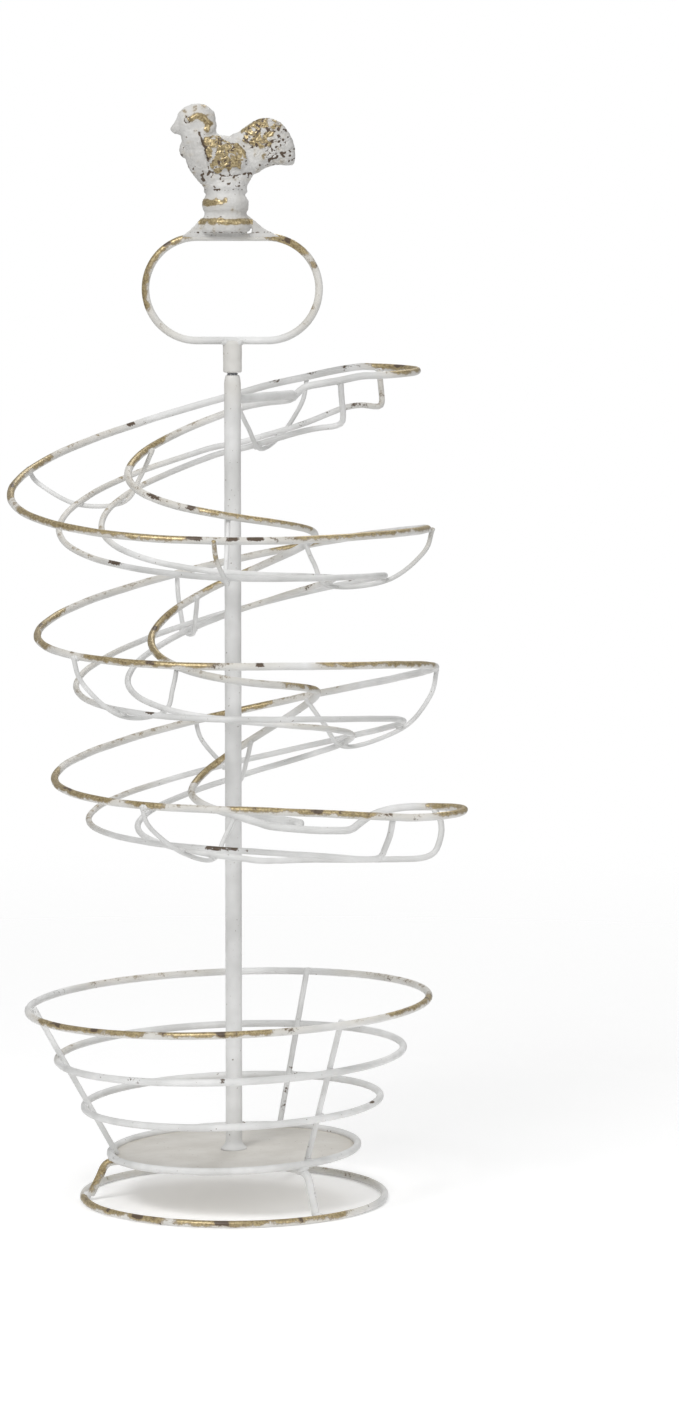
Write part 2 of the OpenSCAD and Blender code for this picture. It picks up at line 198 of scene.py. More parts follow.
def make_light():
    """Soft studio light: a key high on the left, weak lights from the right and from behind, and a surround
    that is brighter above than below. The camera sees a plain white backdrop instead of the surround."""
    world = bpy.data.worlds.new("studio")
    world.use_nodes = True
    background = world.node_tree.nodes["Background"]
    tree = world.node_tree
    seen = link(tree, "ShaderNodeLightPath", {}).outputs["Is Camera Ray"]
    towards = link(tree, "ShaderNodeTexCoord", {}).outputs["Generated"]
    height = link(tree, "ShaderNodeSeparateXYZ", {0: towards}).outputs["Z"]
    middle, swing = (SURROUND[1] + SURROUND[0]) / 2, (SURROUND[1] - SURROUND[0]) / 2
    glow = math_of(tree, "MULTIPLY_ADD", height, swing, middle)
    glow = math_of(tree, "MULTIPLY", glow, math_of(tree, "SUBTRACT", 1.0, seen))
    tree.links.new(math_of(tree, "MULTIPLY_ADD", seen, BACKDROP, glow), background.inputs["Strength"])
    background.inputs["Color"].default_value = (1, 1, 1, 1)
    bpy.context.scene.world = world
    bpy.context.scene.view_settings.view_transform = "Standard"
    for name, (place, size, power) in LIGHTS.items():
        area_light(name, place, size, power)


def make_floor():
    """A pale floor that glows a little and fades into the white backdrop away from the object."""
    bm = bmesh.new()
    bmesh.ops.create_grid(bm, x_segments=1, y_segments=1, size=FLOOR_FADE[1])
    floor = new_object("floor", mesh_of("floor", bm))
    material, tree, shader = new_material("floor")
    shader.inputs["Base Color"].default_value = (0.94, 0.94, 0.94, 1)
    shader.inputs["Roughness"].default_value = 0.9
    shader.inputs["Emission Color"].default_value = (1, 1, 1, 1)
    shader.inputs["Emission Strength"].default_value = FLOOR_GLOW
    place = link(tree, "ShaderNodeTexCoord", {}).outputs["Object"]
    away = link(tree, "ShaderNodeVectorMath", {0: place}, operation="LENGTH").outputs["Value"]
    fade = link(tree, "ShaderNodeMapRange", {
        "Value": away, "From Min": FLOOR_FADE[0], "From Max": FLOOR_FADE[1],
    }, interpolation_type="SMOOTHSTEP").outputs["Result"]
    clear = link(tree, "ShaderNodeBsdfTransparent", {}).outputs["BSDF"]
    both = link(tree, "ShaderNodeMixShader", {0: fade, 1: shader.outputs["BSDF"], 2: clear}).outputs[0]
    tree.links.new(both, tree.nodes["Material Output"].inputs["Surface"])
    floor.data.materials.append(material)


# ---- Materials ----


def new_material(name):
    """A new material, its node tree and its shader node."""
    material = bpy.data.materials.new(name)
    material.use_nodes = True
    return material, material.node_tree, material.node_tree.nodes["Principled BSDF"]


def link(tree, kind, inputs, **settings):
    """A new shader node: its inputs are numbers, colours or other nodes' outputs."""
    node = tree.nodes.new(kind)
    for name, value in settings.items():
        setattr(node, name, value)
    for name, value in inputs.items():
        if isinstance(value, bpy.types.NodeSocket):
            tree.links.new(value, node.inputs[name])
        else:
            node.inputs[name].default_value = value
    return node


def noise_of(tree, coordinates, scale, detail=3.0, roughness=0.55):
    node = link(tree, "ShaderNodeTexNoise", {
        "Vector": coordinates, "Scale": scale, "Detail": detail, "Roughness": roughness,
    })
    return node.outputs["Fac"]


def math_of(tree, operation, a, b=0.0, c=0.0, clamp=False):
    return link(tree, "ShaderNodeMath", {0: a, 1: b, 2: c}, operation=operation, use_clamp=clamp).outputs[0]


def mix_of(tree, share, a, b):
    node = link(tree, "ShaderNodeMix", {"Factor": share}, data_type="RGBA")
    for socket, value in ((node.inputs[6], a), (node.inputs[7], b)):
        if isinstance(value, bpy.types.NodeSocket):
            tree.links.new(value, socket)
        else:
            socket.default_value = value
    return node.outputs[2]


def attribute(tree, name):
    return link(tree, "ShaderNodeAttribute", {}, attribute_name=name).outputs["Fac"]


def above(tree, value, limit, gain):
    """How far a value is past a limit, times a gain, from 0 to 1."""
    return math_of(tree, "MULTIPLY", math_of(tree, "SUBTRACT", value, limit), gain, clamp=True)


def ragged(tree, amount, grain, low, sharp):
    """A mask with ragged edges: it spreads over the surface as the amount rises past a limit."""
    lowered = math_of(tree, "SUBTRACT", amount, RAGGED / 2)
    return above(tree, math_of(tree, "MULTIPLY_ADD", grain, RAGGED, lowered), low, sharp)


def roughen(tree, shader, height, strength, distance):
    bump = link(tree, "ShaderNodeBump", {"Strength": strength, "Distance": distance, "Height": height})
    tree.links.new(bump.outputs["Normal"], shader.inputs["Normal"])


def paint_colour(tree, place, fine, worn, paint, shade):
    """Unevenly toned paint with brown specks and dark flecks, tinted by the gold where it is worn thin."""
    broad, tiny = noise_of(tree, place, 55.0), noise_of(tree, place, 750.0, 2.0)
    colour = mix_of(tree, above(tree, broad, 0.38, 2.6), shade, paint)
    speck = math_of(tree, "MULTIPLY", above(tree, fine, 0.66, 5.0), 0.35)
    colour = mix_of(tree, speck, colour, SPECK)
    colour = mix_of(tree, math_of(tree, "MULTIPLY", worn, 0.8), colour, TINT)
    return mix_of(tree, above(tree, tiny, 0.71, 14.0), colour, FLECK)


def painted(name, paint, shade, gold_edge=0.55, chip_edge=0.75):
    """Antique paint: brushed, unevenly toned, rubbed through to gold and chipped to dark metal.

    The gold and chip attributes of a piece say where it is worn; noise gives the worn places their shape. On
    the rooster the chip attribute also holds pits and painted shade, which take the colours of bare metal.
    """
    material, tree, shader = new_material(name)
    place = link(tree, "ShaderNodeTexCoord", {}).outputs["Object"]
    medium = noise_of(tree, place, 260.0, 4.0)
    fine = noise_of(tree, place, 1100.0, 4.0, 0.65)
    grain = mix_of(tree, 0.45, medium, fine)
    worn = attribute(tree, "gold")
    gold = ragged(tree, worn, grain, gold_edge, 6.0)
    fringe = ragged(tree, worn, grain, gold_edge - 0.11, 7.0)
    # Chipped paint, and on the rooster also painted shade
    chip = ragged(tree, attribute(tree, "chip"), grain, chip_edge, 9.0)
    colour = paint_colour(tree, place, fine, worn, paint, shade)
    colour = mix_of(tree, math_of(tree, "MULTIPLY", fringe, 0.75), colour, FRINGE)
    contrast = math_of(tree, "MULTIPLY_ADD", fine, 2.4, -0.7, clamp=True)
    colour = mix_of(tree, gold, colour, mix_of(tree, contrast, *GILT))
    # Bare metal where the paint is chipped, and painted shade on the rooster
    colour = mix_of(tree, chip, colour, mix_of(tree, fine, *BARE_AND_SHADE))
    tree.links.new(colour, shader.inputs["Base Color"])
    gloss = math_of(tree, "MULTIPLY_ADD", medium, 0.3, 0.38)
    gloss = math_of(tree, "MULTIPLY_ADD", gold, -0.14, gloss)
    tree.links.new(gloss, shader.inputs["Roughness"])
    metallic = math_of(tree, "MULTIPLY", gold, math_of(tree, "SUBTRACT", 0.6, chip, clamp=True))
    tree.links.new(metallic, shader.inputs["Metallic"])
    sunk = math_of(tree, "MAXIMUM", gold, chip)
    height = math_of(tree, "MULTIPLY_ADD", sunk, -0.8, math_of(tree, "MULTIPLY", medium, 0.9))
    height = math_of(tree, "MULTIPLY_ADD", fine, 0.25, height)
    roughen(tree, shader, height, 0.5, 0.12 * MM)
    return material


def steel(name):
    """Zinc plated steel with fine turning marks round the stud."""
    material, tree, shader = new_material(name)
    place = link(tree, "ShaderNodeTexCoord", {}).outputs["Object"]
    stretched = link(tree, "ShaderNodeMapping", {"Vector": place, "Scale": (300.0, 300.0, 4000.0)})
    marks = noise_of(tree, stretched.outputs["Vector"], 1.0)
    colour = mix_of(tree, marks, (0.30, 0.30, 0.31, 1), (0.62, 0.62, 0.64, 1))
    tree.links.new(colour, shader.inputs["Base Color"])
    tree.links.new(math_of(tree, "MULTIPLY_ADD", marks, 0.25, 0.25), shader.inputs["Roughness"])
    shader.inputs["Metallic"].default_value = 1.0
    roughen(tree, shader, marks, 0.3, 0.05 * MM)
    return material


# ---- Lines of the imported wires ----


def vertices(node):
    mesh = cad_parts[node].data
    return np.array([v.co for v in mesh.vertices], float)


def levels(start):
    """The vertices of a mesh by how many edges they are from the starting ones."""
    found, seen = [list(start)], set(start)
    while found[-1]:
        further = []
        for vertex in found[-1]:
            for edge in vertex.link_edges:
                other = edge.other_vert(vertex)
                if other not in seen:
                    seen.add(other)
                    further.append(other)
        found.append(further)
    return found[:-1]


def middle_of(verts):
    return np.mean([v.co for v in verts], axis=0)


def flat_group(face):
    """The vertices of the flat area that a face is part of."""
    faces, waiting = {face}, [face]
    while waiting:
        for edge in waiting.pop().edges:
            for other in edge.link_faces:
                if other not in faces and other.normal.dot(face.normal) > 0.9999:
                    faces.add(other)
                    waiting.append(other)
    return {v for f in faces for v in f.verts}


def wire_line(node):
    """The middle line of a swept wire, ring of vertices by ring, starting at one of its flat ends."""
    bm = bmesh.new()
    bm.from_mesh(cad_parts[node].data)
    bmesh.ops.remove_doubles(bm, verts=bm.verts[:], dist=0.02 * MM)
    bm.normal_update()
    bm.verts.ensure_lookup_table()
    last = levels([bm.verts[0]])[-1][0]
    outward = last.co - Vector(middle_of(levels([last])[6]))
    cap = max(last.link_faces, key=lambda face: face.normal.dot(outward))
    line = np.array([middle_of(ring) for ring in levels(flat_group(cap))])
    bm.free()
    return line


def rod_line(node):
    """The two ends of a straight rod's axis."""
    points = vertices(node)
    middle = points.mean(0)
    axis = np.linalg.svd(points - middle)[2][0]
    along = (points - middle) @ axis
    return np.array([middle + axis * along.min(), middle + axis * along.max()])


def ring_shape(node):
    """Middle, unit normal, radius and wire radius of a ring of wire."""
    points = vertices(node)
    middle = (points.min(0) + points.max(0)) / 2
    normal = np.linalg.svd(points - middle)[2][2]
    normal = normal * np.sign(normal[2])
    across = np.linalg.norm(points - middle - np.outer((points - middle) @ normal, normal), axis=1)
    thick = (across.max() - across.min()) / 2
    middle = middle + normal * (((points - middle) @ normal).max() - thick)
    return middle, normal, (across.max() + across.min()) / 2, thick


def circle(middle, normal, radius, step):
    """Points round a circle, starting towards +X."""
    count = int(2 * math.pi * radius / step)
    turn = np.linspace(0, 2 * math.pi, count, endpoint=False)[:, None]
    x = np.array([1.0, 0, 0]) - normal * normal[0]
    x /= np.linalg.norm(x)
    return middle + radius * (np.cos(turn) * x + np.sin(turn) * np.cross(normal, x))


def through(a, b, c, d, f):
    """Points at the shares f of the way from b to c, on a smooth curve that also passes a and d."""
    return b + 0.5 * f * ((c - a) + f * ((2 * a - 5 * b + 4 * c - d) + f * (3 * b - 3 * c + d - a)))


def smooth(points, count=6):
    """A smooth curve through the points."""
    p = np.vstack([2 * points[0] - points[1], points, 2 * points[-1] - points[-2]])
    f = (np.arange(count) / count)[:, None]
    out = [through(a, b, c, d, f) for a, b, c, d in zip(p, p[1:], p[2:], p[3:])]
    return np.vstack(out + [points[-1:]])


def lengths(points):
    return np.concatenate([[0], np.cumsum(np.linalg.norm(np.diff(points, axis=0), axis=1))])


def evenly(points, step):
    """The same line with its points at equal distances."""
    at = lengths(points)
    new = np.linspace(0, at[-1], max(3, int(at[-1] / step)))
    return np.column_stack([np.interp(new, at, points[:, k]) for k in range(3)])


def wander(line, seed):
    """The line as a hand bent wire has it: long slow bends off its design, and none at its ends."""
    at = lengths(line)
    ends = np.clip(np.minimum(at, at[-1] - at) / (20 * MM), 0, 1)
    out = line.copy()
    for k in range(3):
        phase = seed * 1.7 + k * 2.1
        bend = np.sin(at / (11 * MM) + phase) + 0.7 * np.sin(at / (4.3 * MM) + 2 * phase)
        out[:, k] += WANDER * 0.6 * bend * ends
    return out


# ---- Mesh helpers ----


def mesh_of(name, bm):
    """The mesh of a bmesh, which is used up."""
    mesh = bpy.data.meshes.new(name)
    bm.to_mesh(mesh)
    bm.free()
    return mesh


def smooth_object(name, mesh, material):
    mesh.shade_smooth()
    mesh.materials.append(material)
    return new_object(name, mesh)


def mesh_object(name, points, faces, material):
    mesh = bpy.data.meshes.new(name)
    mesh.from_pydata([tuple(p) for p in points], [], faces)
    return smooth_object(name, mesh, material)


def set_attribute(made, name, values):
    data = made.data.attributes.new(name, "FLOAT", "POINT")
    data.data.foreach_set("value", np.asarray(values, np.float32))


def facing_of(made, direction):
    """How far each vertex faces a direction, from -1 to 1."""
    normals = np.zeros(len(made.data.vertices) * 3)
    made.data.vertices.foreach_get("normal", normals)
    return normals.reshape(-1, 3) @ np.array(direction)


def join_in(made, body, nodes):
    """Puts a piece on its body in place of the CAD nodes it stands for."""
    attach(made, body)
    if nodes:
        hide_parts(*nodes)
    return made


def frames_along(line, closed):
    """Two unit vectors across the line at each point, turning as little as possible along it."""
    if closed:
        along = np.roll(line, -1, 0) - np.roll(line, 1, 0)
    else:
        along = np.gradient(line, axis=0)
    along /= np.linalg.norm(along, axis=1)[:, None]
    side = np.cross(along[0], (0, 0, 1) if abs(along[0][2]) < 0.9 else (0, 1, 0))
    sides = []
    for t in along:
        side = side - t * (side @ t)
        side = side / np.linalg.norm(side)
        sides.append(side)
    sides = np.array(sides)
    return along, sides, np.cross(along, sides)


def skin(rows, sides, closed=False):
    """Faces over rows of vertices that each go once round. Unless it is closed, both ends are capped."""
    faces = []
    for i in range(rows if closed else rows - 1):
        a, b = i * sides, (i + 1) % rows * sides
        faces += [(a + k, a + (k + 1) % sides, b + (k + 1) % sides, b + k) for k in range(sides)]
    if not closed:
        faces += [tuple(range(sides))[::-1], tuple(range((rows - 1) * sides, rows * sides))]
    return faces


def tube(line, radius, closed=False):
    """Points and faces of a round wire with softly rounded ends, and each point's share of its length."""
    along, u, v = frames_along(line, closed)
    at = lengths(line)
    share = at / (at[-1] + (np.linalg.norm(line[0] - line[-1]) if closed else 0))
    rows = [(line[i], u[i], v[i], radius, share[i]) for i in range(len(line))]
    if not closed:
        for k in (0.5, 0.85, 0.98):
            shrink = radius * math.sqrt(1 - k * k)
            rows.insert(0, (line[0] - along[0] * radius * 0.5 * k, u[0], v[0], shrink, 0))
            rows.append((line[-1] + along[-1] * radius * 0.5 * k, u[-1], v[-1], shrink, 1))
    turn = np.linspace(0, 2 * math.pi, WIRE_SIDES, endpoint=False)[:, None]
    points = [place + r * (np.cos(turn) * a + np.sin(turn) * b) for place, a, b, r, _ in rows]
    shares = np.repeat([row[-1] for row in rows], WIRE_SIDES)
    return np.vstack(points), skin(len(rows), WIRE_SIDES, closed), shares


def uneven(points, amount, scale, seed=0.0):
    """Moves each point along a smooth random field, as thick paint or a rough casting has it."""
    shift = Vector((seed, 0, 0))
    return np.array([
        p + amount * np.array(noise.noise_vector(Vector(p) / scale + shift)) for p in points
    ])


def wear_of(patches, shares, total, closed, fade):
    """How worn each point is, from 0 to 1, by the stretches it is in. It fades out past their ends."""
    worn = np.zeros(len(shares))
    for start, end in patches:
        away = np.abs(shares - (start + end) / 2)
        if closed:
            away = np.minimum(away, 1 - away)
        past = (away - (end - start) / 2) * total
        worn = np.maximum(worn, np.clip(1 - past / fade, 0, 1))
    return worn


def wear_wire(made, node, even_points, shares, total, closed, rub_from):
    """Marks a wire's stretches of wear on its skin, streaky, and mostly on the side that gets knocked."""
    def worn(table, fade):
        return wear_of(table.get(node, []), shares, total, closed, fade)

    rubbed, knocked = facing_of(made, rub_from), facing_of(made, KNOCK_FROM)
    streaks = np.array([
        noise.noise(Vector(p) / (9 * MM)) + noise.noise(Vector(p) / (3 * MM)) for p in even_points
    ])
    gold = np.maximum(worn(GOLD, GOLD_FADE), 0.46 * worn(THIN, THIN_FADE))
    set_attribute(made, "gold", gold * np.clip(0.48 + 0.5 * rubbed + 0.25 * streaks, 0, 1))
    chip = worn(CHIPS, CHIP_FADE) * np.clip(1.7 * knocked - 0.4 + 0.3 * streaks, 0, 1)
    fleck = worn(FLECKED, FLECK_FADE) * np.clip(0.47 + 0.16 * knocked + 0.3 * streaks, 0, 0.68)
    set_attribute(made, "chip", np.maximum(chip, fleck))


def wire_piece(node, line, radius, material, body="base", closed=False):
    """One wire: swept, slightly uneven, with its worn stretches."""
    seed = sum(map(ord, node)) % 97
    even_points, faces, shares = tube(line, radius, closed)
    points = uneven(even_points, LUMPS, 4 * MM, seed)
    points[:, 2] = np.maximum(points[:, 2], 0)  # the foot ring is worn flat underneath
    made = mesh_object(f"{node}_wire", points, faces, material)
    rub_from = GRIP_FROM if body == "handle" else RUB_FROM
    wear_wire(made, node, even_points, shares, lengths(line)[-1], closed, rub_from)
    return join_in(made, body, [node])


# ---- Stand, basket and rails ----


def wire_radius(node, line):
    """Half the thickness of a swept wire, from its vertices' distance to its line."""
    points = vertices(node)
    return float(np.median([np.linalg.norm(line - p, axis=1).min() for p in points[::7]]))


def rod_radius(node, line):
    """Half the thickness of a straight rod, from its vertices' distance to its axis."""
    axis = (line[-1] - line[0]) / np.linalg.norm(line[-1] - line[0])
    return float(np.median(np.linalg.norm(np.cross(vertices(node) - line[0], axis), axis=1)))


def make_wires(material):
    """Every wire of the base but its rings, and the lines they follow."""
    lines = {}
    for seed, node in enumerate(RAILS + CRADLES + LEGS):
        corners = wire_line(node)
        radius = wire_radius(node, corners)
        line = evenly(smooth(corners), WIRE_STEP if node in RAILS else WIRE_STEP / 2)
        lines[node] = line
        wire_piece(node, wander(line, seed), radius, material)
    for node in RIBS + ARMS:
        line = evenly(rod_line(node), WIRE_STEP)
        lines[node] = line
        wire_piece(node, line, rod_radius(node, line), material)
    return lines


def make_rings(material):
    """The five rings of the stand and basket, and the circles they follow."""
    lines = {}
    for node in RINGS:
        middle, normal, radius, thick = ring_shape(node)
        line = circle(middle, normal, radius, WIRE_STEP)
        lines[node] = line
        wire_piece(node, line, thick, material, closed=True)
    return lines


# ---- Weld beads ----


def meeting(a, b):
    """The place where two lines pass closest, and the direction of the second there."""
    apart = np.linalg.norm(a[:, None] - b[None], axis=2)
    i, j = np.unravel_index(apart.argmin(), apart.shape)
    along = b[min(j + 1, len(b) - 1)] - b[max(j - 1, 0)]
    return (a[i] + b[j]) / 2, along / np.linalg.norm(along)


def bead(bm, place, along, long, wide):
    """A lumpy bead of weld metal, stretched along the seam."""
    made = bmesh.ops.create_icosphere(bm, subdivisions=3, radius=1)["verts"]
    turn = Vector(along).to_track_quat("X", "Z").to_matrix()
    shift = Vector(place) * 900
    for vertex in made:
        swell = 1 + 0.35 * noise.noise(vertex.co * 1.3 + shift)
        vertex.co = Vector(place) + turn @ Vector((
            vertex.co.x * long * swell, vertex.co.y * wide * swell, vertex.co.z * wide * swell,
        ))


def bead_piece(name, beads, material, body):
    bm = bmesh.new()
    for place, along, long, wide in beads:
        bead(bm, place, along, long * MM, wide * MM)
    return join_in(smooth_object(name, mesh_of(name, bm), material), body, [])


def make_welds(lines, material):
    """A bead wherever two wires meet. Each has its length and width in millimetres."""
    rails = [(*meeting(lines[c], lines[r]), 2.0, 1.25) for c in CRADLES for r in RAILS]
    rails += [(*meeting(lines[a], lines["inner_top_rail"]), 2.4, 2.0) for a in ARMS]
    rails.append((*meeting(lines["outer_lower_rail"][:5], lines["outer_top_rail"]), 2.2, 1.5))
    rails.append((*meeting(lines["inner_lower_rail"][:5], lines["inner_top_rail"]), 2.2, 1.5))
    bead_piece("weld_rails", rails, material, "base")
    stand = [(*meeting(lines[r], lines[n]), 1.9, 1.3) for r in RIBS for n in RINGS[1:]]
    stand += [(*meeting(lines[g], lines[n]), 2.6, 1.7) for g in LEGS for n in RINGS[:2]]
    bead_piece("weld_stand", stand, material, "base")


# ---- Turned parts ----


def lathe(profile, sides, middle=(0, 0)):
    """Points and faces of a closed turned solid, whose profile starts and ends with a flat cap."""
    points = []
    turn = np.linspace(0, 2 * math.pi, sides, endpoint=False)
    for r, z in profile:
        points += [(middle[0] + r * math.cos(a), middle[1] + r * math.sin(a), z) for a in turn]
    return np.array(points), skin(len(profile), sides)


def rounded(profile, step):
    """The profile with points no further apart than the step, so that the skin can be uneven."""
    out = []
    for (r0, z0), (r1, z1) in zip(profile, profile[1:]):
        count = max(1, int(math.hypot(r1 - r0, z1 - z0) / step))
        out += [(r0 + (r1 - r0) * k / count, z0 + (z1 - z0) * k / count) for k in range(count)]
    return out + [profile[-1]]


def make_post(material):
    """The centre tube: its weld at the plate, its rounded top end and the mouth of its bore."""
    low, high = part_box("post")
    foot, z0, z1 = high.x, low.z, high.z
    r = max(math.hypot(v[0], v[1]) for v in vertices("post") if z0 + 5 * MM < v[2] < z1)
    bore = min(math.hypot(v[0], v[1]) for v in vertices("post"))
    profile = [
        (foot + 1.4 * MM, z0), (foot + 1.1 * MM, z0 + 0.9 * MM), (foot, z0 + 1.9 * MM),
        (r + 0.1 * MM, z0 + 3.2 * MM), (r, z0 + 5 * MM), (r, z1 - 3.6 * MM), (r - 0.15 * MM, z1 - 2 * MM),
        (r - 0.45 * MM, z1 - 0.5 * MM), (r - 0.7 * MM, z1), (bore + 0.1 * MM, z1), (bore, z1 - 0.2 * MM),
        (bore, z1 - 13 * MM),
    ]
    points, faces = lathe(rounded(profile, 2.5 * MM), 32)
    made = mesh_object("post_tube", uneven(points, 0.08 * MM, 7 * MM, 3), faces, material)
    near_top = 0.3 - np.abs(points[:, 2] - z1 + 4 * MM) / (40 * MM)
    set_attribute(made, "gold", np.clip(near_top, 0, 1))
    set_attribute(made, "chip", np.full(len(points), 0.5))
    return join_in(made, "base", ["post"])


def make_plate(material):
    """The round sheet of the base, which leans with its ring."""
    corners = vertices("base_plate")
    middle = (corners.min(0) + corners.max(0)) / 2
    normal = np.linalg.svd(corners - middle)[2][2]
    normal *= np.sign(normal[2])
    up = (corners - middle) @ normal
    r = np.linalg.norm(corners - middle - np.outer(up, normal), axis=1).max()
    low, high = up.min(), up.max()
    bevel, hub = 0.3 * MM, 0.5 * MM
    profile = [(hub, low), (r - bevel, low), (r, low + bevel), (r, high - bevel), (r - bevel, high)]
    profile += [(r * k / 20, high) for k in range(19, 0, -1)] + [(hub, high)]
    points, faces = lathe(profile, 72)
    points = uneven(points, 0.12 * MM, 22 * MM, 5)
    edge = np.hypot(points[:, 0], points[:, 1]) / r
    x = np.cross((0, 1, 0), normal)
    x /= np.linalg.norm(x)
    points = middle + points @ np.array([x, np.cross(normal, x), normal])
    made = mesh_object("base_plate_sheet", points, faces, material)
    set_attribute(made, "gold", np.clip((edge - 0.9) * 3, 0, 0.3))
    set_attribute(made, "chip", np.full(len(points), 0.2))
    return join_in(made, "base", ["base_plate"])


def make_stud(material):
    """A stud with a rolled M5 thread: each turn of the helix is one ridge."""
    low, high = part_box("handle_stud")
    crest, root, pitch = high.x, high.x - 0.42 * MM, 0.8 * MM
    sides, per_pitch = 24, 8
    rows = int((high.z - low.z) / pitch * per_pitch)
    points = []
    for i in range(rows + 1):
        z = low.z + (high.z - low.z) * i / rows
        tip = min(1, (z - low.z) / (1.2 * MM), (high.z - z) / (0.8 * MM))
        for k in range(sides):
            wave = abs(((z - low.z) / pitch - k / sides) % 1 * 2 - 1)
            r = root + (crest - root) * min(1, max(0, 1.4 * wave - 0.2)) - 0.5 * MM * (1 - tip)
            points.append((r * math.cos(2 * math.pi * k / sides), r * math.sin(2 * math.pi * k / sides), z))
    made = mesh_object("handle_stud_thread", points, skin(rows + 1, sides), material)
    return join_in(made, "stud", ["handle_stud"])


# ---- Handle ----


def handle_line():
    """The middle line of the loop handle from its top left down round the left side, and its wire radius."""
    low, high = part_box("handle_ring")
    r = (high.y - low.y) / 2
    end = (high.z - low.z) / 2 - r
    straight = (high.x - low.x) / 2 - r - end
    middle = Vector(((low.x + high.x) / 2, 0, (low.z + high.z) / 2))
    out = []
    for x, start in ((-straight, 90), (straight, 270)):
        for a in np.radians(np.arange(start, start + 181, 3)):
            out.append((middle.x + x + end * math.cos(a), 0, middle.z + end * math.sin(a)))
    out = np.array(out)
    count = int(2 * straight / WIRE_STEP)
    bottom = np.linspace(out[60], out[61], count)[1:-1]
    top = np.linspace(out[-1], out[0], count)[1:-1]
    return np.vstack([out[:61], bottom, out[61:], top]), r


def make_handle(material):
    """The loop handle, the sleeve under it and the weld beads between them."""
    line, r = handle_line()
    wire_piece("handle_ring", line, r, material, "handle", closed=True)
    low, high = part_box("handle_sleeve")
    outer = high.x
    mouth = [v for v in vertices("handle_sleeve") if v[2] < low.z + 0.1 * MM]
    bore = min(math.hypot(v[0], v[1]) for v in mouth)
    stud_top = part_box("handle_stud")[1].z
    profile = [
        (0.3 * MM, stud_top + 0.3 * MM), (bore, stud_top + 0.2 * MM), (bore, low.z + 0.3 * MM),
        (bore + 0.3 * MM, low.z), (outer - 0.5 * MM, low.z), (outer - 0.12 * MM, low.z + 0.3 * MM),
        (outer, low.z + 0.9 * MM), (outer, high.z - 0.9 * MM), (outer - 0.15 * MM, high.z - 0.3 * MM),
        (outer - 0.6 * MM, high.z), (0.4 * MM, high.z + 0.3 * MM),
    ]
    points, faces = lathe(rounded(profile, 1.0 * MM), 40)
    sleeve = mesh_object("handle_sleeve_tube", uneven(points, 0.1 * MM, 4 * MM, 8), faces, material)
    set_attribute(sleeve, "gold", np.full(len(points), 0.25))
    set_attribute(sleeve, "chip", np.full(len(points), 0.45))
    join_in(sleeve, "handle", ["handle_sleeve"])
    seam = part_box("handle_ring")[0].z + r
    corners = [(side * 2.6 * MM, y * 1.6 * MM, seam - 0.8 * MM) for side in (-1, 1) for y in (-1, 1)]
    beads = [(corner, (1, 0, 0), 2.2, 1.4) for corner in corners]
    bead_piece("weld_handle", beads, material, "handle")


# ---- Rooster ----

# Outlines of the casting seen from the front, in millimetres from the post's axis and the top of the
# handle ring: x to the right and z up. The bird faces left.
HEAD = [(-22.4, 50.8), (-19.8, 53.2), (-15.6, 54.6), (-10.8, 53.9), (-7.6, 50.8), (-6.8, 47.3), (-7, 43),
        (-10, 39), (-16, 38.5), (-21, 40.5), (-23, 44), (-23.2, 47.5)]
NECK = [(-22, 47), (-15, 50), (-7, 47), (-6.6, 42.5), (-3.5, 40.5), (-1, 36), (-4, 30), (-12, 28),
        (-18, 31), (-20.3, 36), (-21.7, 41)]
BODY = [(-20, 36), (-16, 40.5), (-7, 41.5), (0, 40.6), (6, 38), (10, 33), (10.4, 28), (8.4, 23.6), (6.4, 20),
        (5.0, 16.5), (-10.4, 16.5), (-12, 19.4), (-15, 22.8), (-18, 26.8), (-19.6, 31)]
TAIL = [(-1, 40.4), (3.2, 43), (7.6, 46.3), (11.6, 48.2), (15.4, 48.6), (20.2, 46.9), (23.7, 43),
        (26.1, 38.2), (26.8, 33), (26.2, 29.4), (24.4, 28.6), (18.8, 28.8), (14, 27.4), (9.6, 25), (4, 26),
        (0, 32)]
WING = [(-12.2, 39), (-7.5, 40.4), (-2, 38), (3.6, 35.9), (6, 31.5), (4.4, 27.6), (-0.4, 27.8), (-4.6, 25.6),
        (-9, 27.6), (-10.6, 32.5)]
# The pedestal is turned: its radii and heights, and how far its axis is from the post's
PEDESTAL = [(8, 0.3), (10.3, 0.9), (10.7, 3), (10.6, 5.2), (9.7, 6.2), (8.9, 7.6), (8.9, 9), (9.6, 10),
            (9.9, 12), (9.7, 14), (8.8, 15.2), (8.1, 16.6), (8.1, 18), (8.6, 19.6), (7.5, 22)]
PEDESTAL_X = -2.8
# Webs of weld that hold the pedestal on the handle ring
LEFT_WEB = [(-21.5, -1.5), (-17.5, 1.6), (-13.2, 6.2), (-11, 6.4), (-6, 0.8), (4, 0.8), (4, -1.8), (-14, -2)]
RIGHT_WEB = [(6, 8.0), (9.2, 5.6), (13.4, 2.0), (20.5, -1.5), (12, -2), (3, -1.9), (3.5, -0.4), (8, 0),
             (8.6, 2.0), (6, 4)]
BEAK = [(-26.1, 44.2), (-24.6, 46.2), (-23.4, 48.5), (-22, 51), (-18, 47), (-19, 42.8), (-22, 41.6),
        (-24.8, 42.2)]
WATTLE = [(-22.2, 34.2), (-21.9, 37.4), (-19.8, 40.4), (-17.8, 38), (-18.0, 33), (-20.6, 31.7)]
# The knobs of the comb: each one's middle and radius
COMB = [(-19.8, 50.8, 1.7), (-16.2, 52.5, 1.9), (-12.2, 52.4, 1.9), (-8.9, 50.3, 1.7)]
